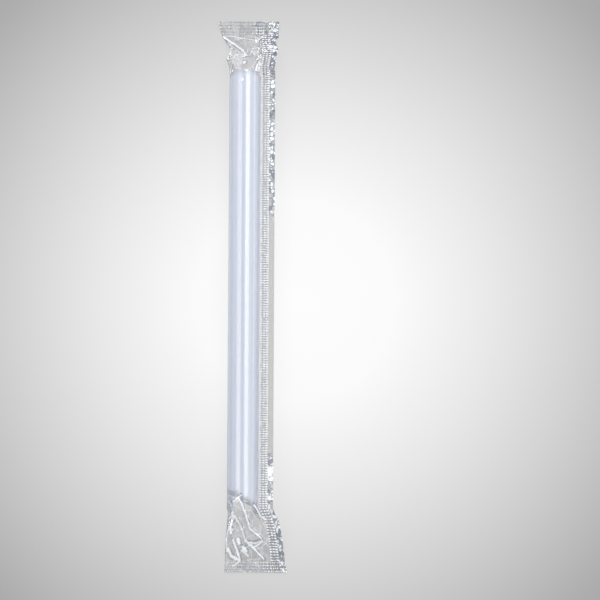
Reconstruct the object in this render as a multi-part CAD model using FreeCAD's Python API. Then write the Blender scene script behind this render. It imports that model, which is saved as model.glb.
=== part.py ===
import FreeCAD, Part
import math
import os

# A drinking straw sealed in its clear film wrapper, lying as it rests on a table.
# Frame: +Y along the straw towards its square end, +X towards the seam, +Z up.
# The origin is the middle of the underside of the whole pack. Lengths are in millimetres.

# Straw: one straight tube, cut square at one end and slantwise at the other
straw_diameter = 12.0
straw_wall = 0.3
straw_length = 190.6
slant_angle = 33.7        # degrees off a square cut
slant_turn = 24.0         # degrees that the long side of the slant is turned up from the seam side

# Film: one sheet folded round the straw, its long edges brought together in a flat seam
film_thickness = 0.06
film_clearance = 0.06     # between the straw and the film round it, at its closest
sleeve_spare = 0.1        # what the flat sleeve is wider than half the way round the straw
upper_facets = 20         # over the straw, from where the film leaves it for the seam to the fold
rest_half_angle = 9.0     # degrees each side of straight down that the film is pressed flat

# Seam: a plain land, a band of crimped ridges and a free margin
seam_land = 0.15
seam_band = 3.2
seam_margin = 2.35
seam_rib_pitch = 1.05
seam_rib_height = 0.12
seam_rib_slope = 0.12     # share of a ridge's length that slopes down at each of its ends

# The free edge of the margin stands in waves near the ends and lies flat between them
wave_height = 0.35
wave_pitch = 3.7
square_wave_length = 78.0  # how far along the straw they run from its square end
slant_wave_length = 16.0

# Ends: the sleeve comes down to the table in creases and is crimped across
square_gather = 20.4
square_seal = 5.8
square_seal_lift = 1.0    # how far the cut edge curls up off the table
slant_gather = 20.6
slant_seal = 4.8
slant_seal_lift = 0.6
gather_rows = 20          # rows of creased facets over each gather, with a ridge of the seam by each
seal_rib_pitch = 1.3
seal_rib_height = 0.14
seal_rib_slope = 0.02     # share of a ridge's length that slopes down at each of its ends
seal_plain_row = 0.5      # plain film before the first ridge of a seal and after its last
seal_plain_side = 0.6     # plain film at both ends of its ridges

# How far the fold and the seam stand out from their places along the straw, as
# (distance past the straw's end, offset). The share of film left over goes into creases.
square_fold_line = [(0, 0), (4.1, 0.15), (8.2, 1.3), (13.2, -0.3), (19.5, 2.9), (26.2, 4.8)]
square_seam_line = [(0, 0), (3.6, -0.3), (9, 0.4), (13.5, 1.0), (17.9, -0.1), (19.4, 1.2), (26.2, 1.5)]
slant_fold_line = [(0, 0), (1.5, -0.5), (12, 0.4), (25.4, 0.7)]
slant_seam_line = [(0, 0), (4.7, 2.4), (10.5, 3.6), (17.9, 4.6), (20.6, 4.8), (25.4, 5.7)]

# Creases over each end as (height, reach to each side, corners), with each corner as
# (x, distance past the straw's end). A height below zero is a valley.
square_creases = [
    (1.4, 1.8, [(-8.8, 19.6), (-3.9, 14.8), (0.4, 8.8)]),
    (1.0, 1.6, [(-7.4, 8.1), (-4.7, 6.6), (-5.8, 12.6)]),
    (0.8, 1.3, [(-5.8, 0.8), (-4.7, 6.6), (-3.5, 0.1)]),
    (-0.9, 1.6, [(-4.7, 6.6), (-2.7, 9.3), (0.4, 8.8)]),
    (0.9, 1.4, [(6.0, 5.9), (5.6, 0.6)]),
    (1.0, 1.6, [(7.1, 11.9), (4.0, 4.3)]),
    (-1.0, 1.6, [(0.4, 8.8), (1.9, 14.6), (5.3, 17.4)]),
]
slant_creases = [
    (1.4, 1.8, [(-1.5, -2.0), (0.6, 2.5), (3.1, 9.5), (7.4, 12.2)]),
    (1.1, 1.5, [(4.9, 0.2), (7.4, 3.5), (9.8, 4.3)]),
    (1.2, 1.6, [(-5.2, 4.8), (-3.6, 4.2), (-0.6, 8.2), (1.3, 13.6), (3.8, 15.3), (8.7, 19.6)]),
    (0.8, 1.3, [(-6.0, 16.7), (-6.3, 12.2), (-5.3, 7.6), (-3.6, 9.3)]),
    (1.1, 1.6, [(-5.6, 16.8), (-1.2, 20.3)]),
    (0.9, 1.3, [(-3.0, 13.7), (-0.8, 18.9)]),
    (-0.9, 1.4, [(2.6, 14.1), (8.0, 13.2), (4.4, 15.6)]),
    (-0.9, 1.6, [(-3.6, 9.3), (-0.6, 8.2)]),
]
full_crease_from_straw = 0.25  # share of the gather over which creases grow to their full height
full_crease_from_seal = 0.33
full_crease_from_fold = 0.4    # share of the way from the fold to the seam over which they do
full_crease_from_seam = 0.29
valley_limit = 0.55            # share of the film's own height that a valley may take

# Values that follow from those above
straw_radius = straw_diameter / 2
rest_angle = math.radians(rest_half_angle)
half_facet = max(math.pi / upper_facets / 2, rest_angle)
sleeve_inside = (straw_radius + film_clearance) / math.cos(half_facet)
sleeve_outside = sleeve_inside + film_thickness
axis_height = sleeve_outside * math.cos(rest_angle)
seam_width = seam_land + seam_band + seam_margin
slant_reach = straw_radius * math.tan(math.radians(slant_angle))
straw_ribs = round(straw_length / seam_rib_pitch)
smallest_facet = 1e-6


def leave_angle_for_spare():
    """Angle up from the seam at which the film leaves the straw, from tan(a) - a = spare / radius."""
    low, high = 0.01, 1.2
    for _ in range(50):
        middle = (low + high) / 2
        if math.tan(middle) - middle < sleeve_spare / sleeve_inside:
            low = middle
        else:
            high = middle
    return low


leave_angle = leave_angle_for_spare()
root_inside = sleeve_inside / math.cos(leave_angle)
root_outside = (sleeve_outside - film_thickness * math.sin(leave_angle)) / math.cos(leave_angle)


def line_value(line, distance):
    """Straight-line reading of a list of (distance, offset)."""
    for (d0, v0), (d1, v1) in zip(line, line[1:]):
        if d0 <= distance <= d1:
            return v0 + (v1 - v0) * (distance - d0) / (d1 - d0)
    return line[-1][1] if distance > line[-1][0] else line[0][1]


def distance_from_crease(corners, x, distance):
    """How far a place on the film is from the line of a crease."""
    nearest = math.inf
    for (x0, d0), (x1, d1) in zip(corners, corners[1:]):
        along_x, along_d = x1 - x0, d1 - d0
        share = ((x - x0) * along_x + (distance - d0) * along_d) / (along_x ** 2 + along_d ** 2)
        share = min(1, max(0, share))
        away = math.hypot(x - x0 - share * along_x, distance - d0 - share * along_d)
        nearest = min(nearest, away)
    return nearest


def crease_lift(creases, x, distance):
    """Sum of the ridges and valleys of one end at a place on the film."""
    lift = 0.0
    for height, reach, corners in creases:
        lift += height * max(0, 1 - distance_from_crease(corners, x, distance) / reach)
    return lift


def round_angles():
    """Angles of the sleeve's corners over and under the straw, each from the seam to the fold."""
    over = [leave_angle + (math.pi - leave_angle) * i / (upper_facets - 1) for i in range(upper_facets)]
    near_steps = upper_facets // 2 - 2
    far_steps = upper_facets - 2 - near_steps
    near_end = math.pi / 2 - rest_angle
    far_start = math.pi / 2 + rest_angle
    near = [leave_angle + (near_end - leave_angle) * i / near_steps for i in range(near_steps + 1)]
    far = [far_start + (math.pi - far_start) * i / far_steps for i in range(far_steps + 1)]
    return over, [-a for a in near + far]


class PackEnd:
    """One end of the wrapper, from the end of the straw to the cut edge of the film."""

    def __init__(self, start_y, way, gather, seal, lift, fold_line, seam_line, creases):
        self.start_y = start_y
        self.way = way
        self.gather = gather
        self.seal = seal
        self.lift = lift
        self.fold_line = fold_line
        self.stops = [gather * i / gather_rows for i in range(gather_rows + 1)]
        self.seam_line = [(d, line_value(seam_line, d)) for d in self.stops + [gather + seal]]
        self.creases = creases

    def seam_height(self, distance):
        """Height of the plane in which the two layers meet."""
        if distance <= 0:
            return axis_height
        if distance <= self.gather:
            return axis_height + (film_thickness - axis_height) * distance / self.gather
        return film_thickness + self.lift * (distance - self.gather) / self.seal

    def root_x(self, distance, inset=0.0):
        """Where the seam starts, on the film's outside or, with an inset, on its inside."""
        root = root_outside if inset == 0 else root_inside
        return root + line_value(self.seam_line, distance)

    def round_x(self, angle, share, distance, inset):
        """Where a corner lies across the pack before it is pressed flat."""
        to_seam = line_value(self.seam_line, distance) * (1 - share) ** 2
        to_fold = line_value(self.fold_line, distance) * share ** 2
        return (sleeve_outside - inset) * math.cos(angle) + to_seam - to_fold

    def crease_push(self, angle, share, distance, flat):
        """How far the creases lift or sink a corner; the film's two skins move alike."""
        if flat <= 0 or flat >= 1:
            return 0.0
        room = min(
            1, flat / full_crease_from_straw, (1 - flat) / full_crease_from_seal,
            (1 - share) / full_crease_from_fold, share / full_crease_from_seam,
        )
        lift = crease_lift(self.creases, self.round_x(angle, share, distance, 0.0), distance)
        rise = sleeve_outside * math.sin(angle) * (1 - flat)
        return max(lift * room, -valley_limit * rise)

    def half(self, distance, side, inset):
        """Corners of one half of the sleeve, from the seam to the fold; side is 0 above and 1 below."""
        flat = min(1, distance / self.gather)
        middle = self.seam_height(distance)
        root = self.root_x(distance, inset)
        fold = -(sleeve_outside - inset) - line_value(self.fold_line, distance)
        gap = (1 - 2 * side) * (film_thickness - inset)
        points = [(root, middle + gap)]
        angles = round_angles()[side]
        for i, angle in enumerate(angles):
            share = (i + 1) / len(angles)
            x_flat = root + (fold - root) * share
            x = self.round_x(angle, share, distance, inset) * (1 - flat) + x_flat * flat
            fused = gap if i < len(angles) - 1 else 0.0
            rise = (sleeve_outside - inset) * math.sin(angle)
            z = middle + rise * (1 - flat) + fused * flat
            if side == 0:
                z += self.crease_push(angle, share, distance, flat)
            points.append((x, z))
        y = self.start_y + self.way * distance
        return [FreeCAD.Vector(x, y, z) for x, z in points]


square_end = PackEnd(
    straw_length / 2, 1, square_gather, square_seal, square_seal_lift,
    square_fold_line, square_seam_line, square_creases,
)
slant_end = PackEnd(
    -straw_length / 2, -1, slant_gather, slant_seal, slant_seal_lift,
    slant_fold_line, slant_seam_line, slant_creases,
)


def edge_wave(y):
    """How far the free edge of the seam waves up or down at a place along the pack."""
    from_square = straw_length / 2 - y
    from_slant = straw_length / 2 + y
    size = max(0, 1 - max(0, from_square) / square_wave_length, 1 - max(0, from_slant) / slant_wave_length)
    from_seal = min(from_square + square_gather, from_slant + slant_gather)
    turns = 2 * math.pi * y / wave_pitch
    wave = (2 * math.sin(turns) + math.sin(turns * 1.7)) / 3
    return wave_height * wave * min(1, size) * min(1, from_seal / wave_pitch)


def flat_face(points):
    """A face from its corners, which lie in one plane."""
    return Part.Face(Part.makePolygon(list(points) + [points[0]]))


def facets_between(inner_row, outer_row):
    """Two triangles in each gap between two rows of corners, the inner one nearer the straw.

    Their shared side leans towards the seam on that half and towards the fold on the other, so that
    the two skins of the hollow never share one where they meet at the seal.
    """
    faces = []
    middle = len(inner_row) // 2
    for i in range(len(inner_row) - 1):
        a0, a1, b0, b1 = inner_row[i], inner_row[i + 1], outer_row[i], outer_row[i + 1]
        halves = ((a0, a1, b0), (a1, b1, b0)) if i < middle else ((a0, a1, b1), (a0, b1, b0))
        for corners in halves:
            if (corners[1] - corners[0]).cross(corners[2] - corners[0]).Length > smallest_facet:
                faces.append(flat_face(corners))
    return faces


def sleeve_faces(side, inset):
    """One skin of one half of the sleeve; along the straw its facets are long and flat."""
    faces = []
    starts = []
    for end in (slant_end, square_end):
        rows = [end.half(d, side, inset) for d in end.stops]
        starts.append(rows[0])
        for inner_row, outer_row in zip(rows, rows[1:]):
            faces += facets_between(inner_row, outer_row)
    for a0, a1, b0, b1 in zip(starts[0], starts[0][1:], starts[1], starts[1][1:]):
        faces.append(flat_face((a0, a1, b1, b0)))
    return faces


def ridge_faces(near_a, far_a, near_b, far_b, height, slope):
    """A crimped ridge with sloping ends on a flat patch given by its four corners."""
    middle_near = (near_a + near_b) * 0.5
    middle_far = (far_a + far_b) * 0.5
    up = FreeCAD.Vector(0, 0, height)
    top_near = middle_near + (middle_far - middle_near) * slope + up
    top_far = middle_far - (middle_far - middle_near) * slope + up
    return [
        flat_face((near_a, far_a, top_far, top_near)),
        flat_face((near_b, far_b, top_far, top_near)),
        flat_face((near_a, near_b, top_near)),
        flat_face((far_a, far_b, top_far)),
    ]


def seam_point(end, distance, across, side):
    """A place on the seam, by its distance past the straw's end and from the sleeve."""
    x = end.root_x(distance) + across
    z = end.seam_height(distance) + (1 - 2 * side) * film_thickness
    return FreeCAD.Vector(x, end.start_y + end.way * distance, z)


def seam_zone(point_at, rows, ribs):
    """Land, ridged band and waved margin of one stretch of the seam.

    point_at(d, across) gives a place, and rows are the sleeve's rows from 0 to the stretch's length.
    """
    steps = [rows[-1] * i / ribs for i in range(ribs + 1)]
    root = [point_at(d, 0) for d in rows]
    band_start = [point_at(d, seam_land) for d in steps]
    band_end = [point_at(d, seam_land + seam_band) for d in steps]
    edge = [point_at(d, seam_width) for d in steps]
    for corner in edge:
        corner.z += edge_wave(corner.y)
    faces = [flat_face(root + band_start[::-1])]
    for a0, a1, b0, b1 in zip(band_start, band_end, band_start[1:], band_end[1:]):
        faces += ridge_faces(a0, a1, b0, b1, seam_rib_height, seam_rib_slope)
    return faces + facets_between(band_end, edge), edge


def seal_zone(end, side):
    """The crimped seal across one end, one layer's skin, with ridges from the fold to the seam's edge."""
    cut = end.gather + end.seal
    ribs = max(2, round(end.seal / seal_rib_pitch))
    ridged = end.seal - 2 * seal_plain_row
    lines = [end.gather + seal_plain_row + ridged * i / ribs for i in range(ribs + 1)]
    seam_places = (seam_width, seam_land + seam_band, seam_land)
    first = [seam_point(end, end.gather, a, side) for a in seam_places] + end.half(end.gather, side, 0)
    rights = []
    lefts = []
    for distance in lines:
        right = seam_point(end, distance, seam_width, side)
        left = end.half(distance, side, 0)[-2]
        step = (left - right) * (seal_plain_side / (left - right).Length)
        rights.append(right + step)
        lefts.append(left - step)
    folds = [end.half(d, side, 0)[-1] for d in (end.gather, cut)]
    cut_right = seam_point(end, cut, seam_width, side)
    cut_left = end.half(cut, side, 0)[-2]
    faces = []
    for i in range(ribs):
        faces += ridge_faces(
            rights[i], lefts[i], rights[i + 1], lefts[i + 1], seal_rib_height, seal_rib_slope)
    faces.append(flat_face(first[:-1] + [lefts[0], rights[0]]))
    faces.append(flat_face([first[0]] + rights + [cut_right]))
    faces.append(flat_face([first[-2]] + lefts + [cut_left]))
    faces.append(flat_face([cut_right, rights[-1], lefts[-1], cut_left]))
    faces.append(flat_face((first[-2], folds[0], cut_left)))
    faces.append(flat_face((folds[0], folds[1], cut_left)))
    return faces, (cut_right, cut_left, folds[1])


def layer_faces(side):
    """Outer skin of one layer of the sheet, with the free edges of its seam and of its two seals."""
    faces = sleeve_faces(side, 0.0)
    edges = []
    cuts = []
    for end in (square_end, slant_end):
        zone, edge = seam_zone(lambda d, a: seam_point(end, d, a, side), end.stops, gather_rows)
        faces += zone
        edges.append(edge)
        zone, cut = seal_zone(end, side)
        faces += zone
        cuts.append(cut)

    def along_straw(d, across):
        return seam_point(slant_end, 0, across, side) + FreeCAD.Vector(0, d, 0)

    zone, edge = seam_zone(along_straw, [0, straw_length], straw_ribs)
    edges.append(edge)
    return faces + zone, edges, cuts


def film_outer_faces():
    """Both layers' outer skins and the thin cut edge that closes them all round."""
    over_faces, over_edges, over_cuts = layer_faces(0)
    under_faces, under_edges, under_cuts = layer_faces(1)
    faces = over_faces + under_faces
    for over, under in zip(over_edges, under_edges):
        for a0, a1, b0, b1 in zip(over, over[1:], under, under[1:]):
            faces.append(flat_face((a0, a1, b1, b0)))
    for end, over, under in zip((square_end, slant_end), over_cuts, under_cuts):
        start_over, start_under = [seam_point(end, end.gather, seam_width, s) for s in (0, 1)]
        faces.append(flat_face((start_over, over[0], under[0], start_under)))
        faces.append(flat_face((over[0], over[1], over[2], under[1], under[0])))
    return faces


def make_film():
    """The skin outside, and inside it the hollow that holds the straw."""
    outer = Part.makeShell(film_outer_faces())
    inner = Part.makeShell(sleeve_faces(0, film_thickness) + sleeve_faces(1, film_thickness))
    film = Part.makeSolid(Part.makeCompound([outer, inner]))
    if abs(film.Volume) > abs(Part.makeSolid(outer).Volume):
        inner.reverse()
        film = Part.makeSolid(Part.makeCompound([outer, inner]))
    return film


def make_straw():
    """The tube, lying on the film, with the slant cut from its -Y end."""
    start = FreeCAD.Vector(0, -straw_length / 2, axis_height)
    along = FreeCAD.Vector(0, 1, 0)
    tube = Part.makeCylinder(straw_radius, straw_length, start, along)
    tube = tube.cut(Part.makeCylinder(straw_radius - straw_wall, straw_length, start, along))
    reach = 2 * straw_diameter
    knife = Part.makeBox(2 * reach, reach, 2 * reach, FreeCAD.Vector(-reach, -reach, -reach))
    knife.rotate(FreeCAD.Vector(0, 0, 0), FreeCAD.Vector(0, 0, 1), -slant_angle)
    knife.rotate(FreeCAD.Vector(0, 0, 0), along, -slant_turn)
    knife.translate(FreeCAD.Vector(0, -straw_length / 2 + slant_reach, axis_height))
    return tube.cut(knife)


os.makedirs("parts", exist_ok=True)
film_wrapper = make_film()
drinking_straw = make_straw()
box = film_wrapper.BoundBox
to_origin = FreeCAD.Vector(-(box.XMin + box.XMax) / 2, -(box.YMin + box.YMax) / 2, -box.ZMin)
for name, shape in (("film_wrapper", film_wrapper), ("drinking_straw", drinking_straw)):
    shape.translate(to_origin)
    print(name, shape.isValid(), len(shape.Solids), shape.Volume, shape.BoundBox)
    shape.exportStep("parts/" + name + ".step")
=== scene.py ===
import math

import bmesh
import bpy
from mathutils import Matrix, Vector, noise


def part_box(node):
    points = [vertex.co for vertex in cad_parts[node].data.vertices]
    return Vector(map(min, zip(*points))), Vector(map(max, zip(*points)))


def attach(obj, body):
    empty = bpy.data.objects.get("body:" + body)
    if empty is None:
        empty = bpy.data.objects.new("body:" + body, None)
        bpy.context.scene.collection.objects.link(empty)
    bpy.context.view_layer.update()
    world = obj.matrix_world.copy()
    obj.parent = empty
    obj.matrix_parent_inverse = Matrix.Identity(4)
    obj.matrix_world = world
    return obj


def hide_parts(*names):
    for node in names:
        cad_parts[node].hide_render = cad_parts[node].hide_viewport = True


# A drinking straw sealed in clear film, lying on a white table.
# Metres, +Y along the straw towards its square end, +X towards the film's seam.

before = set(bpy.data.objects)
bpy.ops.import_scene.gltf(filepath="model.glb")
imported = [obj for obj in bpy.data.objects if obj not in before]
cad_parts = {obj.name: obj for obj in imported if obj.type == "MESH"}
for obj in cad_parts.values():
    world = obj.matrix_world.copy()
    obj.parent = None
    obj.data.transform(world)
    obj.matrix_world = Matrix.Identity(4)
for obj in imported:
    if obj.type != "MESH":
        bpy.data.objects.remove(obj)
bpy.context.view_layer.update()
straw_low, straw_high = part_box("drinking_straw")

MM = 0.001

# Straw
STRAW_RADIUS = (straw_high.x - straw_low.x) / 2
STRAW_X = (straw_high.x + straw_low.x) / 2
STRAW_Z = (straw_high.z + straw_low.z) / 2
STRAW_WALL = 0.3 * MM
SLANT_ANGLE = math.radians(33.7)
SLANT_TURN = math.radians(24.0)
SLANT_CUT_LENGTH = 8 * MM

# Film sheet, cut flat and folded in half along the side away from the seam
FILM = 0.035 * MM
SLEEVE_RADIUS = STRAW_RADIUS + 0.14 * MM
SLEEVE_SPARE = 0.1 * MM
SEAM_LAND = 0.15 * MM
SEAM_BAND = 3.2 * MM
SEAM_WIDTH = 5.7 * MM
SEAM_PITCH = 1.05 * MM
WAVE_HEIGHT, WAVE_PITCH = 0.35 * MM, 3.7 * MM
WAVE_LEAN = 0.35
WAVES_FROM_SQUARE, WAVES_FROM_SLANT = 78 * MM, 16 * MM
SEAL_PITCH, SEAL_TOOTH = 1.3 * MM, 1.0 * MM
SQUARE_END_Y = straw_high.y
SLANT_END_Y = straw_low.y
SQUARE_GATHER, SQUARE_SEAL, SQUARE_LIFT = 20.4 * MM, 5.8 * MM, 1.0 * MM
SLANT_GATHER, SLANT_SEAL, SLANT_LIFT = 20.6 * MM, 4.8 * MM, 0.6 * MM
FILM_END_HIGH = SQUARE_END_Y + SQUARE_GATHER + SQUARE_SEAL
FILM_END_LOW = SLANT_END_Y - SLANT_GATHER - SLANT_SEAL
RESTING = 0.06 * MM
FILM_COLUMNS, FILM_ROWS, ROWS_AT_SLEEVE = 148, 640, 0.56
SHEET_UV_SIZE = (0.1, 0.3)

# Small facets between the creases
GATHER_FACET, GATHER_FACET_LIFT = 2.6 * MM, 0.5 * MM
MARGIN_FACET, MARGIN_FACET_SHARE = 2.1 * MM, 0.6
MIDDLE_FACET = 0.3

# Share of a crease's width that shines as a painted highlight, and the painted shade line beside it, in
# millimetres
SHINING_SHARE = 0.82
SHADE_LINE_AWAY, SHADE_LINE_WIDTH = 0.28, 0.26

# How far the fold and the root of the seam stand out past the ends of the straw,
# as (distance past the end, offset) in millimetres
SQUARE_FOLD = [(0, 0), (4.1, 0.15), (8.2, 1.3), (13.2, -0.3), (19.5, 2.9), (26.2, 4.8)]
SQUARE_ROOT = [(0, 0), (3.6, -0.3), (9, 0.4), (13.5, 1.0), (17.9, -0.1), (19.4, 1.2), (26.2, 1.5)]
SLANT_FOLD = [(0, 0), (1.5, -0.5), (12, 0.4), (25.4, 0.7)]
SLANT_ROOT = [(0, 0), (4.7, 2.4), (10.5, 3.6), (17.9, 4.6), (20.6, 4.8), (25.4, 5.7)]

# Creases as (height, reach to each side, strength of its painted highlight, width of the painted highlight
# line, corners as (x, distance past the straw's end)), in millimetres. A height below zero is a valley.
SQUARE_CREASES = [
    (1.4, 1.8, 1.0, 0.38, [(-8.8, 19.6), (-3.9, 14.8), (0.4, 8.8)]),
    (0.7, 0.9, 1.0, 0.40, [(-1.6, 6.9), (1.1, 8.0)]),
    (1.0, 1.6, 0.35, 0.30, [(-7.4, 8.1), (-4.7, 6.6), (-5.8, 12.6)]),
    (0.8, 1.3, 0.5, 0.30, [(-5.8, 0.8), (-4.7, 6.6), (-3.5, 0.1)]),
    (-0.9, 1.6, 0.35, 0.30, [(-4.7, 6.6), (-2.7, 9.3), (0.4, 8.8)]),
    (-0.7, 1.2, 0.5, 0.30, [(-2.7, 7.2), (-1.3, 2.9), (0.1, 3.7)]),
    (0.9, 1.4, 1.0, 0.32, [(6.0, 5.9), (5.6, 0.6)]),
    (0.2, 0.8, 1.0, 0.80, [(6.1, 5.6), (6.0, 5.2)]),
    (0.2, 0.8, 1.0, 0.60, [(-0.3, 3.9), (0.1, 4.2)]),
    (0.2, 0.8, 0.7, 0.60, [(-3.4, 8.6), (-3.0, 8.8)]),
    (0.0, 1.0, 1.0, 0.65, [(0.3, -0.7), (0.8, -0.8)]),
    (0.0, 1.0, 1.0, 0.72, [(-0.9, -5.0), (-0.8, -4.7)]),
    (0.5, 1.0, 0.8, 0.32, [(-5.9, 12.2), (-6.9, 8.3)]),
    (0.5, 1.0, 0.6, 0.30, [(-2.6, 6.4), (-4.7, 6.6), (-3.6, 9.6)]),
    (-0.6, 1.2, 0.6, 0.30, [(2.0, 8.6), (3.0, 12.6), (6.2, 14.0)]),
    (1.0, 1.6, 0.4, 0.30, [(7.1, 11.9), (4.0, 4.3)]),
    (-0.8, 1.4, 0.35, 0.30, [(4.0, 10.3), (3.5, 0.1)]),
    (0.6, 1.3, 0.7, 0.36, [(-8.8, 19.4), (-5.9, 20.0), (-0.3, 18.4), (5.3, 17.4)]),
    (-1.0, 1.6, 0.35, 0.30, [(0.4, 8.8), (1.9, 14.6), (5.3, 17.4)]),
]
SLANT_CREASES = [
    (0.5, 0.9, 0.9, 0.34, [(-3.6, -0.7), (-0.3, -3.1)]),
    (1.4, 1.8, 1.0, 0.40, [(-1.5, -2.0), (0.6, 2.5), (3.1, 9.5), (7.4, 12.2)]),
    (1.1, 1.5, 1.0, 0.52, [(4.9, 0.2), (7.4, 3.5), (9.8, 4.3)]),
    (-0.6, 1.2, 0.5, 0.34, [(-5.5, -2.1), (-3.8, 2.2)]),
    (1.2, 1.6, 1.0, 0.36, [(-5.2, 4.8), (-3.6, 4.2), (-0.6, 8.2), (1.3, 13.6), (3.8, 15.3), (8.7, 19.6)]),
    (0.8, 1.3, 0.8, 0.34, [(-6.0, 16.7), (-6.3, 12.2), (-5.3, 7.6), (-3.6, 9.3)]),
    (1.1, 1.6, 1.0, 0.62, [(-5.6, 15.8), (-4.2, 18.6), (-1.2, 20.0)]),
    (0.9, 1.3, 1.0, 0.42, [(-3.6, 12.7), (-2.0, 16.4), (-0.8, 19.9)]),
    (0.3, 0.9, 1.0, 0.80, [(-1.6, 12.9), (-1.2, 14.2)]),
    (0.3, 0.9, 1.0, 0.75, [(0.5, 15.6), (1.6, 17.0)]),
    (0.3, 0.9, 1.0, 0.55, [(-4.6, 9.2), (-4.4, 10.2)]),
    (0.4, 1.0, 0.9, 0.60, [(-3.9, 3.2), (-3.6, 5.6)]),
    (-0.9, 1.4, 0.9, 0.38, [(2.6, 14.1), (8.0, 13.2), (4.4, 15.6)]),
    (0.5, 1.1, 0.4, 0.30, [(0.1, 20.3), (8.7, 19.3)]),
    (0.6, 1.0, 0.9, 0.36, [(-0.2, 16.7), (2.6, 18.6)]),
    (0.7, 1.3, 0.4, 0.30, [(7.4, 12.2), (10.3, 14.4)]),
    (-0.9, 1.6, 0.3, 0.30, [(-3.6, 9.3), (-0.6, 8.2)]),
    (0.0, 1.0, 0.9, 0.34, [(-1.0, 20.4), (-3.6, 22.6)]),
]


def leave_angle():
    """Angle up from the seam at which the film leaves the straw, from tan(a) - a = spare / radius."""
    low, high = 0.01, 1.2
    for _ in range(50):
        middle = (low + high) / 2
        if math.tan(middle) - middle < SLEEVE_SPARE / SLEEVE_RADIUS:
            low = middle
        else:
            high = middle
    return low


LEAVE = leave_angle()
ROOT = SLEEVE_RADIUS / math.cos(LEAVE)
SLEEVE_FLAT = SLEEVE_RADIUS * (math.pi - LEAVE + math.tan(LEAVE))
HALF_WIDTH = SLEEVE_FLAT + SEAM_WIDTH


def offset_at(line, distance):
    """Straight-line reading of a list of (distance, offset), both in millimetres."""
    distance /= MM
    for (d0, v0), (d1, v1) in zip(line, line[1:]):
        if d0 <= distance <= d1:
            return (v0 + (v1 - v0) * (distance - d0) / (d1 - d0)) * MM
    return (line[-1][1] if distance > line[-1][0] else line[0][1]) * MM


def from_crease(corners, x, distance):
    """How far a place is from a crease's line, with its side as the sign."""
    best = 99.0
    for (x0, d0), (x1, d1) in zip(corners, corners[1:]):
        run_x, run_d = x1 - x0, d1 - d0
        share = ((x - x0) * run_x + (distance - d0) * run_d) / (run_x ** 2 + run_d ** 2)
        share = min(1.0, max(0.0, share))
        off_x, off_d = x - x0 - share * run_x, distance - d0 - share * run_d
        away = math.hypot(off_x, off_d)
        if away < abs(best):
            best = math.copysign(away, off_x * run_d - off_d * run_x)
    return best


def crease_lift(creases, x, distance):
    """Height of the ridges and valleys at a place on the film, in metres."""
    lift = 0.0
    for height, reach, _, _, corners in creases:
        away = abs(from_crease(corners, x / MM, distance / MM))
        lift += height * max(0.0, 1 - away / reach)
    return lift * MM


def crease_highlight_and_shade(creases, x, distance):
    """Where a crease gets a painted highlight, and the painted shade line beside it, both from 0 to 1.

    A line without height is only a painted highlight, and has no painted shade line."""
    bright = dark = 0.0
    for height, _, shine, width, corners in creases:
        away = from_crease(corners, x / MM, distance / MM)
        shining = SHINING_SHARE * width
        bright = max(bright, shine * math.exp(-(away / shining) ** 4))
        if height:
            side = 1.0 if away > 0 else 0.5
            beside = (abs(away) - shining - SHADE_LINE_AWAY) / SHADE_LINE_WIDTH
            dark = max(dark, shine * side * math.exp(-beside ** 2))
    return bright, dark


def facet_noise(x, y, size):
    """Crumpled facets: the gap between the two nearest of scattered points, from 0 at a fold."""
    near = noise.voronoi(Vector((x / size, y / size, 3.7)))[0]
    return near[1] - near[0]


class PackEnd:
    """How the folded sheet lies past one end of the straw."""

    def __init__(self, y, way, gather, seal, lift, fold, root, creases):
        self.y, self.way = y, way
        self.gather, self.seal, self.lift = gather, seal, lift
        self.fold, self.root, self.creases = fold, root, creases

    def seam_height(self, d):
        """Level beside the straw, down to the table over the gather, up a little over the seal."""
        if d <= 0:
            return STRAW_Z
        if d <= self.gather:
            return STRAW_Z + (RESTING - STRAW_Z) * d / self.gather
        return RESTING + self.lift * (d - self.gather) / self.seal

    def place(self, across, d, side):
        """Where a point of the sheet goes: across is from the fold, d past the straw's end, and
        side is 1 for the upper layer and -1 for the lower."""
        flat = min(1.0, max(0.0, d / self.gather))
        middle = self.seam_height(d)
        root = ROOT + offset_at(self.root, d)
        fold = -SLEEVE_RADIUS - offset_at(self.fold, d)
        layer = side * FILM / 2
        if across >= SLEEVE_FLAT:
            return Vector((root + across - SLEEVE_FLAT, 0, middle + layer))
        share = 1 - across / SLEEVE_FLAT
        run = share * SLEEVE_FLAT
        straight = SLEEVE_RADIUS * math.tan(LEAVE)
        if run < straight:
            x_round = ROOT - run * math.sin(LEAVE)
            rise = run * math.cos(LEAVE)
        else:
            angle = LEAVE + (run - straight) / SLEEVE_RADIUS
            x_round = SLEEVE_RADIUS * math.cos(angle)
            rise = SLEEVE_RADIUS * math.sin(angle)
        x_full = x_round + (root - ROOT) * (1 - share) ** 2 + (fold + SLEEVE_RADIUS) * share ** 2
        x_flat = root + (fold - root) * share
        x = x_full * (1 - flat) + x_flat * flat
        rise = min(rise, STRAW_Z - 0.02 * MM) if side < 0 else rise
        z = middle + side * rise * (1 - flat) + layer * min(1.0, 20 * (1 - share) + 0.2)
        if side > 0 and 0 < flat < 1:
            room = min(1.0, 4 * flat, 3.0 * (1 - flat), 2.5 * (1 - share), 3.5 * share)
            push = crease_lift(self.creases, x_full, d)
            push += (facet_noise(x_full, d, GATHER_FACET) - MIDDLE_FACET) * GATHER_FACET_LIFT
            z += max(push * room, -0.55 * rise * (1 - flat))
        return Vector((x, 0, z))


square_end = PackEnd(SQUARE_END_Y, 1, SQUARE_GATHER, SQUARE_SEAL, SQUARE_LIFT,
                     SQUARE_FOLD, SQUARE_ROOT, SQUARE_CREASES)
slant_end = PackEnd(SLANT_END_Y, -1, SLANT_GATHER, SLANT_SEAL, SLANT_LIFT,
                    SLANT_FOLD, SLANT_ROOT, SLANT_CREASES)


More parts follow.
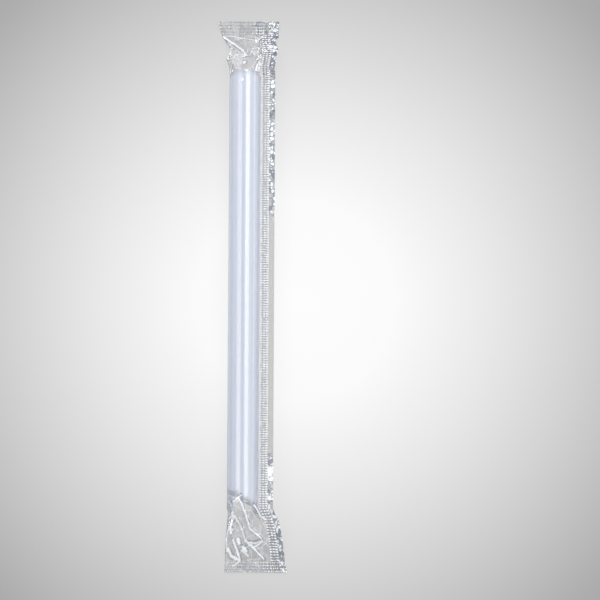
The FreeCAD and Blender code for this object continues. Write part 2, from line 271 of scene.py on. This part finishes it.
def seam_wave(across, y):
    """Standing waves in the free edge of the seam near both ends, in metres up from its plane."""
    stop = SLEEVE_FLAT + SEAM_LAND + SEAM_BAND
    out = max(0.0, (across - stop) / (HALF_WIDTH - stop))
    from_square, from_slant = SQUARE_END_Y - y, y - SLANT_END_Y
    near_square = 1 - max(0, from_square) / WAVES_FROM_SQUARE
    near_slant = 1 - max(0, from_slant) / WAVES_FROM_SLANT
    size = max(0, near_square, near_slant)
    from_seal = min(from_square + SQUARE_GATHER, from_slant + SLANT_GATHER)
    turns = 2 * math.pi * (y + WAVE_LEAN * (across - SLEEVE_FLAT)) / WAVE_PITCH
    wave = (2 * math.sin(turns) + math.sin(turns * 1.7)) / 3
    wave += (facet_noise(across, y, MARGIN_FACET) - MIDDLE_FACET) * MARGIN_FACET_SHARE
    return out * WAVE_HEIGHT * wave * min(1, size) * max(0, min(1, from_seal / WAVE_PITCH))


def fold_sheet(point):
    """From a place on the flat sheet to its place in the pack."""
    side = 1 if point.x >= 0 else -1
    across, y = abs(point.x), point.y
    end = square_end if y > 0 else slant_end
    d = end.way * (y - end.y)
    placed = end.place(across, d, side)
    z = placed.z + seam_wave(across, y)
    return Vector((STRAW_X + placed.x, y, z))


def film_highlight_and_shade(flat_place, folded):
    """Painted highlight and painted shade lines of the creases at a corner of the sheet, kept as a colour.
    """
    end = square_end if flat_place.y > 0 else slant_end
    distance = end.way * (flat_place.y - end.y)
    if flat_place.x < 0 or flat_place.x > SLEEVE_FLAT + 1 * MM or distance < -6 * MM:
        return (0, 0, 0, 1)
    bright, dark = crease_highlight_and_shade(end.creases, folded.x - STRAW_X, distance)
    return (bright, dark, 0, 1)


def make_film():
    """One sheet, cut flat, with rows close together over the creased ends, then folded."""
    mesh = bmesh.new()
    bmesh.ops.create_grid(mesh, x_segments=FILM_COLUMNS, y_segments=FILM_ROWS, size=1)
    sheet_uv = mesh.loops.layers.uv.new("sheet")
    sleeve_low = SLANT_END_Y + SLANT_CUT_LENGTH

    def row_y(t):
        first, last = (1 - ROWS_AT_SLEEVE) / 2, (1 + ROWS_AT_SLEEVE) / 2
        if t < first:
            return FILM_END_LOW + (sleeve_low - FILM_END_LOW) * t / first
        if t > last:
            return FILM_END_HIGH - (FILM_END_HIGH - SQUARE_END_Y) * (1 - t) / (1 - last)
        return sleeve_low + (SQUARE_END_Y - sleeve_low) * (t - first) / ROWS_AT_SLEEVE

    for v in mesh.verts:
        v.co = Vector((v.co.x * HALF_WIDTH, row_y((v.co.y + 1) / 2), 0))
    for face in mesh.faces:
        for loop in face.loops:
            place = loop.vert.co
            loop[sheet_uv].uv = (place.x / SHEET_UV_SIZE[0] + 0.5, place.y / SHEET_UV_SIZE[1] + 0.5)
        face.smooth = True
    # Painted highlights and painted shade of the creases, kept on the sheet's corners
    marks = mesh.verts.layers.float_color.new("marks")
    for v in mesh.verts:
        flat_place = v.co.copy()
        v.co = fold_sheet(flat_place)
        v[marks] = film_highlight_and_shade(flat_place, v.co)
    data = bpy.data.meshes.new("film")
    mesh.to_mesh(data)
    mesh.free()
    film = bpy.data.objects.new("film", data)
    bpy.context.scene.collection.objects.link(film)
    return film


def make_straw():
    """A tube with a thin wall, its square end at +Y and the other cut slantwise."""
    mesh = bmesh.new()
    bmesh.ops.create_circle(mesh, segments=96, radius=STRAW_RADIUS, cap_ends=False)
    bmesh.ops.rotate(mesh, verts=mesh.verts, matrix=Matrix.Rotation(math.radians(90), 3, "X"))
    bmesh.ops.translate(mesh, verts=mesh.verts, vec=(0, SLANT_END_Y, 0))
    steps = 60
    length = SQUARE_END_Y - SLANT_END_Y
    edges = mesh.edges[:]
    for _ in range(steps):
        made = bmesh.ops.extrude_edge_only(mesh, edges=edges)["geom"]
        verts = [g for g in made if isinstance(g, bmesh.types.BMVert)]
        edges = [g for g in made if isinstance(g, bmesh.types.BMEdge)]
        bmesh.ops.translate(mesh, verts=verts, vec=(0, length / steps, 0))
    cut = Vector((math.sin(SLANT_ANGLE) * math.cos(SLANT_TURN), math.cos(SLANT_ANGLE),
                  math.sin(SLANT_ANGLE) * math.sin(SLANT_TURN)))
    middle = (0, SLANT_END_Y + STRAW_RADIUS * math.tan(SLANT_ANGLE), 0)
    geometry = mesh.verts[:] + mesh.edges[:] + mesh.faces[:]
    bmesh.ops.bisect_plane(mesh, geom=geometry, plane_co=middle, plane_no=cut, clear_inner=True)
    bmesh.ops.recalc_face_normals(mesh, faces=mesh.faces)
    for face in mesh.faces:
        face.smooth = True
    bmesh.ops.translate(mesh, verts=mesh.verts, vec=(STRAW_X, 0, STRAW_Z))
    data = bpy.data.meshes.new("straw")
    mesh.to_mesh(data)
    mesh.free()
    straw = bpy.data.objects.new("straw", data)
    bpy.context.scene.collection.objects.link(straw)
    wall = straw.modifiers.new("wall", "SOLIDIFY")
    wall.thickness = STRAW_WALL
    wall.offset = -1
    return straw


class Value:
    """A shader socket that can be added, multiplied and compared as a number."""

    def __init__(self, tree, socket):
        self.tree, self.socket = tree, socket

    def math(self, operation, *others, swap=False):
        node = self.tree.nodes.new("ShaderNodeMath")
        node.operation = operation
        values = [self, *others]
        if swap:
            values.reverse()
        for slot, value in zip(node.inputs, values):
            put(self.tree, slot, value)
        return Value(self.tree, node.outputs[0])

    def __add__(self, other):
        return self.math("ADD", other)

    __radd__ = __add__

    def __mul__(self, other):
        return self.math("MULTIPLY", other)

    __rmul__ = __mul__

    def __sub__(self, other):
        return self.math("SUBTRACT", other)

    def __rsub__(self, other):
        return self.math("SUBTRACT", other, swap=True)

    def __truediv__(self, other):
        return self.math("DIVIDE", other)

    def __rtruediv__(self, other):
        return self.math("DIVIDE", other, swap=True)

    def __pow__(self, other):
        return self.math("POWER", other)

    def __gt__(self, other):
        return self.math("GREATER_THAN", other)

    def __lt__(self, other):
        return self.math("LESS_THAN", other)

    def held(self):
        """Kept between 0 and 1."""
        return self.math("MAXIMUM", 0.0).math("MINIMUM", 1.0)

    def over(self, start, slope):
        """0 up to start, then rising with the slope to 1."""
        return ((self - start) * slope).held()

    def under(self, start, slope):
        """0 from start on, and below it rising with the slope to 1."""
        return ((start - self) * slope).held()


def put(tree, slot, value):
    """Links a socket to an input, or writes a plain value on it."""
    if isinstance(value, Value):
        tree.links.new(value.socket, slot)
    elif hasattr(slot.default_value, "__len__") and not hasattr(value, "__len__"):
        slot.default_value = [value] * len(slot.default_value)
    else:
        slot.default_value = value


class Finish:
    """A material built from nodes."""

    def __init__(self, name):
        self.material = bpy.data.materials.new(name)
        self.material.use_nodes = True
        self.tree = self.material.node_tree
        self.tree.nodes.clear()

    def node(self, kind, settings=None, output=0, stops=(), places=None, **inputs):
        """Any node: its settings and ramp stops first, then its sockets by name or by place."""
        made = self.tree.nodes.new(kind)
        for name, value in (settings or {}).items():
            setattr(made, name, value)
        for place, (where, colour) in enumerate(stops):
            while len(made.color_ramp.elements) <= place:
                made.color_ramp.elements.new(where)
            made.color_ramp.elements[place].position = where
            made.color_ramp.elements[place].color = (*colour, 1)
        for name, value in inputs.items():
            put(self.tree, made.inputs[name.replace("_", " ")], value)
        for place, value in (places or {}).items():
            put(self.tree, made.inputs[place], value)
        return Value(self.tree, made.outputs[output])

    def mix(self, share, first, second):
        """Colour between first and second."""
        places = {0: share, 6: first, 7: second}
        return self.node("ShaderNodeMix", {"data_type": "RGBA"}, output=2, places=places)

    def blend(self, share, first, second):
        """Shader between first and second."""
        return self.node("ShaderNodeMixShader", places={0: share, 1: first, 2: second})

    def split(self, vector):
        """The three parts of a vector or a colour."""
        made = self.node("ShaderNodeSeparateXYZ", Vector=vector).socket.node
        return [Value(self.tree, socket) for socket in made.outputs]

    def ribs(self, place, pitch, wander=0.0):
        """Even ribs along a place, from -1 to 1."""
        return (place * (2 * math.pi / pitch) + wander).math("SINE")

    def surface(self, shader):
        out = self.tree.nodes.new("ShaderNodeOutputMaterial")
        self.tree.links.new(shader.socket, out.inputs["Surface"])
        return self.material


BLACK = (0, 0, 0, 1)
CLEAR_GREY = (0.60, 0.59, 0.59, 1)
# The facet grey is painted shading of crumpled facets turned different ways.
FACET_SHADE_GREY = (0.33, 0.315, 0.305, 1)
SEAM_GREY = (0.33, 0.32, 0.315, 1)
# The dark blue is the painted shade, and the near white the painted highlights, on the film.
PAINTED_SHADE_BLUE = (0.12, 0.16, 0.25, 1)
PAINTED_HIGHLIGHT_WHITE = (0.80, 0.83, 0.86, 1)
# The pale lilac is the pale end of the straw's streaks, partly the plastic's own tone and partly painted
# reflection.
LILAC, PALE_LILAC_AND_SHEEN, MILKY_LILAC = (0.76, 0.79, 0.87, 1), (0.93, 0.96, 1.0, 1), (0.85, 0.88, 0.94, 1)


class FilmFinish(Finish):
    """Clear glossy film with its crimped bands, and painted highlights and painted shade on its creases,
    crimps and crumples, in the flat sheet's own coordinates.
    """

    def __init__(self):
        super().__init__("clear film")
        self.sheet = self.node("ShaderNodeUVMap", {"uv_map": "sheet"})
        u, v, _ = self.split(self.sheet)
        self.across = ((u - 0.5) * SHEET_UV_SIZE[0]).math("ABSOLUTE")
        self.along = (v - 0.5) * SHEET_UV_SIZE[1]
        self.on_top = u > 0.5
        self.in_sleeve = self.across < SLEEVE_FLAT
        self.seam_start = SLEEVE_FLAT + SEAM_LAND
        self.seam_stop = self.seam_start + SEAM_BAND
        self.on_seam = self.band(self.across, self.seam_start, self.seam_stop)
        self.on_margin = self.across.over(self.seam_stop, 1 / (0.2 * MM))
        self.right_share = self.across.over(SLEEVE_FLAT - 5 * MM, 1 / (2 * MM))
        slant_cut = (1 - self.across / SLEEVE_FLAT).held() ** 2 * (7.3 * MM) + (SLANT_END_Y + 0.3 * MM)
        past_slant = ((slant_cut - self.along) / (0.8 * MM)).held()
        self.loose = self.along.over(SQUARE_END_Y, 1 / MM) + past_slant
        self.in_seal = (self.along.over(SQUARE_END_Y + SQUARE_GATHER, 1 / (0.3 * MM))
                        + self.along.under(SLANT_END_Y - SLANT_GATHER, 1 / (0.3 * MM)))
        self.wander = self.speckle(60.0, 2.0)
        self.patchy = self.speckle(45.0, 1.0)
        self.uneven = self.speckle(130.0, 1.0)

    def speckle(self, scale, detail):
        return self.node("ShaderNodeTexNoise", Vector=self.sheet, Scale=scale, Detail=detail)

    def band(self, value, low, high, soft=0.12 * MM):
        """1 between two places, fading over a short way at each."""
        return value.over(low, 1 / soft) * value.under(high, 1 / soft)

    def cells(self, size_across, size_along, seed):
        """A random grey for each crumpled facet, used for painted facet shading and highlights, and how near
        its edge a place is.
        """
        x, y = self.across / size_across, self.along / size_along
        flat = self.node("ShaderNodeCombineXYZ", X=x, Y=y, Z=seed)
        grey = self.split(self.node("ShaderNodeTexVoronoi", output=1, Vector=flat, Scale=1.0))[0]
        edge = self.node("ShaderNodeTexVoronoi", {"feature": "DISTANCE_TO_EDGE"}, Vector=flat, Scale=1.0)
        return grey, edge

    def seam_rungs(self):
        """Painted highlights and painted shade of the rungs pressed across the seam's band, seen as dots
        down both of its sides and its middle, with a darker line along the band's outer edge.
        """
        start, stop = self.seam_start, self.seam_stop
        rung = self.ribs(self.along, SEAM_PITCH, self.wander * 5) + (self.uneven - 0.5) * 3.4
        whole = self.along < 52 * MM
        columns = self.band(self.across, start - 0.1 * MM, start + 0.8 * MM)
        columns = columns + self.band(self.across, stop - 0.9 * MM, stop + 0.1 * MM)
        middle = self.band(self.across, start + 1.2 * MM, start + 2.1 * MM) * self.patchy.over(0.34, 9)
        white = rung.over(-0.05, 5) * (columns + middle * 0.9)
        white = white + rung.over(0.6, 3) * self.on_seam * whole * 0.45
        dark = rung.under(-0.1, 5) * self.on_seam * (0.52 + whole * 0.08)
        return white, dark + self.band(self.across, stop, stop + 0.3 * MM) * 0.35

    def seal_rows(self):
        """Painted highlights and painted shade of the seals' rows and teeth, sharper over the seam."""
        row = self.ribs(self.along, SEAL_PITCH)
        tooth = self.ribs(self.across, SEAL_TOOTH, self.wander * 16)
        white = row.over(0.2, 2) * tooth.over(-0.2, 3) * (0.42 + 0.58 * self.right_share)
        white = white * self.patchy.over(0.38, 8) + self.uneven.over(0.62, 12) * (1 - self.right_share) * 0.6
        dark = row.under(-0.1, 2) * tooth.under(0.2, 3) * (0.3 + 0.5 * self.right_share)
        return white, dark + row.under(-0.3, 3) * self.uneven.over(0.40, 6) * 0.4

    def margin_chips(self):
        """Painted highlights and painted shade of the crumpled margin, strongest near the square end, with
        two painted highlight patches near the other.
        """
        grey, edge = self.cells(1.35 * MM, 1.7 * MM, 2.0)
        chip, _ = self.cells(0.75 * MM, 0.8 * MM, 4.0)
        near_square = self.along.over(30 * MM, 1 / (6 * MM))
        near_slant = self.along.under(-70 * MM, 1 / (3 * MM))
        crumple = (0.05 + near_square + near_slant * 0.8) * self.on_margin
        corner = self.band(self.along, SQUARE_END_Y + 9 * MM, SQUARE_END_Y + 30 * MM, 2 * MM)
        corner = corner * self.right_share
        patches = (self.band(self.along, -84 * MM, -77 * MM, 1 * MM)
                   + self.band(self.along, -92.5 * MM, -89.5 * MM, 1 * MM))
        white = grey.over(0.44, 14) * edge.over(0.07, 20) * crumple
        white = white + chip.over(0.60, 10) * corner * self.patchy.over(0.44, 9) * 0.95
        white = white + patches * self.on_margin * (0.4 + chip.over(0.15, 7) * 0.6)
        dark = edge.under(0.12, 16) * crumple * 0.8 + grey.under(0.20, 14) * crumple * 0.9
        return white, dark + chip.under(0.36, 10) * corner * 0.8

    def edge_shade_lines(self):
        """Painted shade lines along the sheet's fold and its two cut edges."""
        fold = self.across.under(0.5 * MM, 1 / (0.5 * MM)) * self.loose * 0.6
        cut = (self.along.over(FILM_END_HIGH - 0.4 * MM, 1 / (0.2 * MM))
               + self.along.under(FILM_END_LOW + 0.4 * MM, 1 / (0.2 * MM)))
        return fold + cut * 0.35

    def film(self):
        """The finished material."""
        # Painted highlights and painted shade of the creases, from the sheet's corners
        marks = self.node("ShaderNodeAttribute", {"attribute_name": "marks"})
        painted_crease_highlight, painted_crease_shade, _ = self.split(marks)
        painted_seam_highlight, painted_seam_shade = self.seam_rungs()
        painted_seal_highlight, painted_seal_shade = self.seal_rows()
        painted_margin_highlight, painted_margin_shade = self.margin_chips()

        # Painted highlight lines and painted shade along fine creases between the large ones
        facet, facet_edge = self.cells(3.2 * MM, 4.4 * MM, 5.0)
        small, small_edge = self.cells(1.5 * MM, 2.0 * MM, 9.0)
        gathered = self.loose * self.in_sleeve * self.on_top
        lines = facet_edge.under(0.05, 26) * 0.55 + small_edge.under(0.045, 30) * small.over(0.45, 4) * 0.5
        lines = lines * gathered * (1 - self.in_seal)
        shade = facet_edge.under(0.14, 12) * (1 - lines) * gathered * 0.42

        # All painted highlights and all painted shade of the film together
        white = painted_crease_highlight + painted_seam_highlight * (1 - self.in_seal) + painted_seal_highlight * self.in_seal
        white = (white + painted_margin_highlight + lines).held()
        dark = painted_crease_shade * 1.5 + painted_seam_shade * (1 - self.in_seal) + painted_seal_shade * self.in_seal
        dark = (dark + painted_margin_shade + shade + self.edge_shade_lines()).held() * (1 - white)

        # Crumpled facets get different greys as painted shading, the seam and margin are greyer, and the
        # painted shade and painted highlights go on top
        base = self.mix((facet + small * 0.5) * self.loose * 0.7, CLEAR_GREY, FACET_SHADE_GREY)
        base = self.mix(self.on_seam + self.on_margin, base, SEAM_GREY)
        colour = self.mix(white, self.mix(dark, base, PAINTED_SHADE_BLUE), PAINTED_HIGHLIGHT_WHITE)

        body = self.node("ShaderNodeTexCoord", output=3)
        ripple = self.node("ShaderNodeTexNoise", Vector=body, Scale=240.0, Detail=3.0)
        height = (painted_seam_highlight + painted_seal_highlight * self.in_seal) * 0.5 + painted_margin_highlight * 0.3
        height = height + (facet * 0.6 + ripple * 0.5) * self.loose
        bump = self.node("ShaderNodeBump", Height=height, Strength=0.6, Distance=0.35 * MM)

        facing = self.node("ShaderNodeLayerWeight", output=1, Blend=0.3)
        cover = 0.04 + facing * 0.12 + self.loose * (0.22 + (facet - 0.5) * 0.18)
        cover = cover + self.on_seam * 0.28 + self.on_margin * 0.32
        cover = cover.math("MAXIMUM", white * 0.92).math("MAXIMUM", dark * 0.62).held()
        # Cover is raised under the painted highlights and painted shade, and the emission is a painted glow
        # on the painted highlights.
        sheet_shade = self.node(
            "ShaderNodeBsdfPrincipled", Base_Color=colour, Roughness=0.25, IOR=1.5, Alpha=cover, Normal=bump,
            Emission_Color=self.mix(white, BLACK, (0.9, 0.95, 1.0, 1)), Emission_Strength=0.1,
        )
        gloss = self.node("ShaderNodeBsdfGlossy", Color=(1, 1, 1, 1), Roughness=0.14, Normal=bump)
        share = self.node("ShaderNodeFresnel", IOR=1.45, Normal=bump)
        return self.surface(self.blend(share, sheet_shade, gloss))


def straw_finish():
    """Thin pale lilac plastic, milky enough to let light through, with lengthwise streaks that are partly
    its own tone and partly painted reflections, and a faint painted glow.
    """
    f = Finish("translucent lilac plastic")
    body = f.node("ShaderNodeTexCoord", output=3)
    stretched = f.node("ShaderNodeMapping", Vector=body, Scale=(420.0, 3.0, 420.0))
    broad = f.node("ShaderNodeTexNoise", Vector=stretched, Scale=1.0, Detail=1.0)
    fine = f.node("ShaderNodeMapping", Vector=body, Scale=(1300.0, 5.0, 1300.0))
    thin = f.node("ShaderNodeTexNoise", Vector=fine, Scale=1.0, Detail=2.0)
    # The streaks are partly the plastic's own lengthwise tone and partly painted reflection streaks.
    streaks = ((broad - 0.5) * 2.2 + (thin - 0.5) * 1.2 + 0.5).held()
    colour = f.mix(streaks, LILAC, PALE_LILAC_AND_SHEEN)
    bump = f.node("ShaderNodeBump", Height=streaks, Strength=0.12, Distance=0.1 * MM)
    # The emission is a painted glow standing in for light scattered in the milky plastic.
    wall = f.node(
        "ShaderNodeBsdfPrincipled", Base_Color=colour, Roughness=0.22, IOR=1.49,
        Alpha=0.9, Coat_Weight=0.6, Coat_Roughness=0.08, Normal=bump,
        Emission_Color=colour, Emission_Strength=0.11,
    )
    glow = f.node("ShaderNodeBsdfTranslucent", Color=MILKY_LILAC)
    return f.surface(f.blend(0.36, wall, glow))


def table_finish():
    """White table with a painted falloff of light: palest under the pack and greyer towards the corners."""
    f = Finish("white table")
    x, y, _ = f.split(f.node("ShaderNodeTexCoord", output=3))
    across = x - (CENTRE.x - 2 * MM)
    along = (y - CENTRE.y) * math.sin(ELEVATION)
    away = (across ** 2 + along ** 2) ** 0.5 / PALE_REACH
    stops = [(place, (level,) * 3) for place, level in TABLE_FALLOFF_GREYS]
    grey = f.node("ShaderNodeValToRGB", stops=stops, Fac=away)
    plain = f.node("ShaderNodeLightPath", output=0) * TABLE_PLAIN
    return f.surface(f.node(
        "ShaderNodeBsdfPrincipled", Base_Color=f.mix(plain, grey, BLACK), Roughness=1.0,
        Specular_IOR_Level=0.0,
        Emission_Color=f.mix(plain, BLACK, grey), Emission_Strength=1.0,
    ))


CENTRE = Vector((19.1 * MM, -2.0 * MM, 0.8 * MM))
ELEVATION = math.radians(65.4)
DISTANCE = 8.0
ROLL = math.radians(0.28)

# The table's grey, a painted falloff of light, at shares of the way out from its palest place, and
# the share of it that the camera sees as it is, without light or shadow
PALE_REACH = 0.2
TABLE_PLAIN = 0.87
TABLE_FALLOFF_GREYS = [(0.0, 0.95), (0.2, 0.925), (0.4, 0.775), (0.58, 0.62), (0.82, 0.405), (1.0, 0.32)]

film = make_film()
film.data.materials.append(FilmFinish().film())
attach(film, "root")
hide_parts("film_wrapper")

straw = make_straw()
straw.data.materials.append(straw_finish())
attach(straw, "root")
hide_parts("drinking_straw")
2 * HALF_WIDTH

table_mesh = bmesh.new()
bmesh.ops.create_grid(table_mesh, x_segments=1, y_segments=1, size=3.0)
table_data = bpy.data.meshes.new("table")
table_mesh.to_mesh(table_data)
table_mesh.free()
table = bpy.data.objects.new("table", table_data)
bpy.context.scene.collection.objects.link(table)
table.data.materials.append(table_finish())

world = bpy.data.worlds.new("studio")
bpy.context.scene.world = world
world.use_nodes = True
sky = world.node_tree.nodes["Background"]
sky.inputs["Color"].default_value = (1, 1, 1, 1)
sky.inputs["Strength"].default_value = 0.84


LAMP_AWAY, LAMP_LENGTH, LAMP_TILT = 1.2, 0.7, math.radians(24.6)


def softbox(name, turn, spread, level):
    """A flat lamp turned about the straw from straight up, in degrees, and tilted towards +Y."""
    turn, spread = math.radians(turn), math.radians(spread)
    across = math.cos(LAMP_TILT)
    back = Vector((across * math.sin(turn), math.sin(LAMP_TILT), across * math.cos(turn)))
    data = bpy.data.lights.new(name, "AREA")
    data.shape = "RECTANGLE"
    data.size, data.size_y = 2 * LAMP_AWAY * math.tan(spread / 2), LAMP_LENGTH
    data.energy = level * math.pi * data.size * data.size_y
    lamp = bpy.data.objects.new(name, data)
    side = Vector((math.cos(turn), 0, -math.sin(turn)))
    up = back.cross(side)
    lamp.matrix_world = Matrix.Translation(back * LAMP_AWAY) @ Matrix((side, up, back)).transposed().to_4x4()
    bpy.context.scene.collection.objects.link(lamp)


softbox("right box", 26, 26, 4.2)
softbox("left box", -36, 30, 2.7)
softbox("far right box", 96, 34, 2.4)

camera_data = bpy.data.cameras.new("camera")
camera_data.lens = 1200
camera_data.sensor_width = 36
camera_data.clip_end = 40
camera = bpy.data.objects.new("camera", camera_data)
toward = Vector((0, -math.cos(ELEVATION), math.sin(ELEVATION)))
camera.location = CENTRE + toward * DISTANCE
camera.rotation_euler = (math.radians(90) - ELEVATION, 0, 0)
bpy.context.scene.collection.objects.link(camera)
camera.matrix_world = camera.matrix_basis @ Matrix.Rotation(ROLL, 4, "Z")
bpy.context.scene.camera = camera

bpy.context.scene.view_settings.view_transform = "Standard"
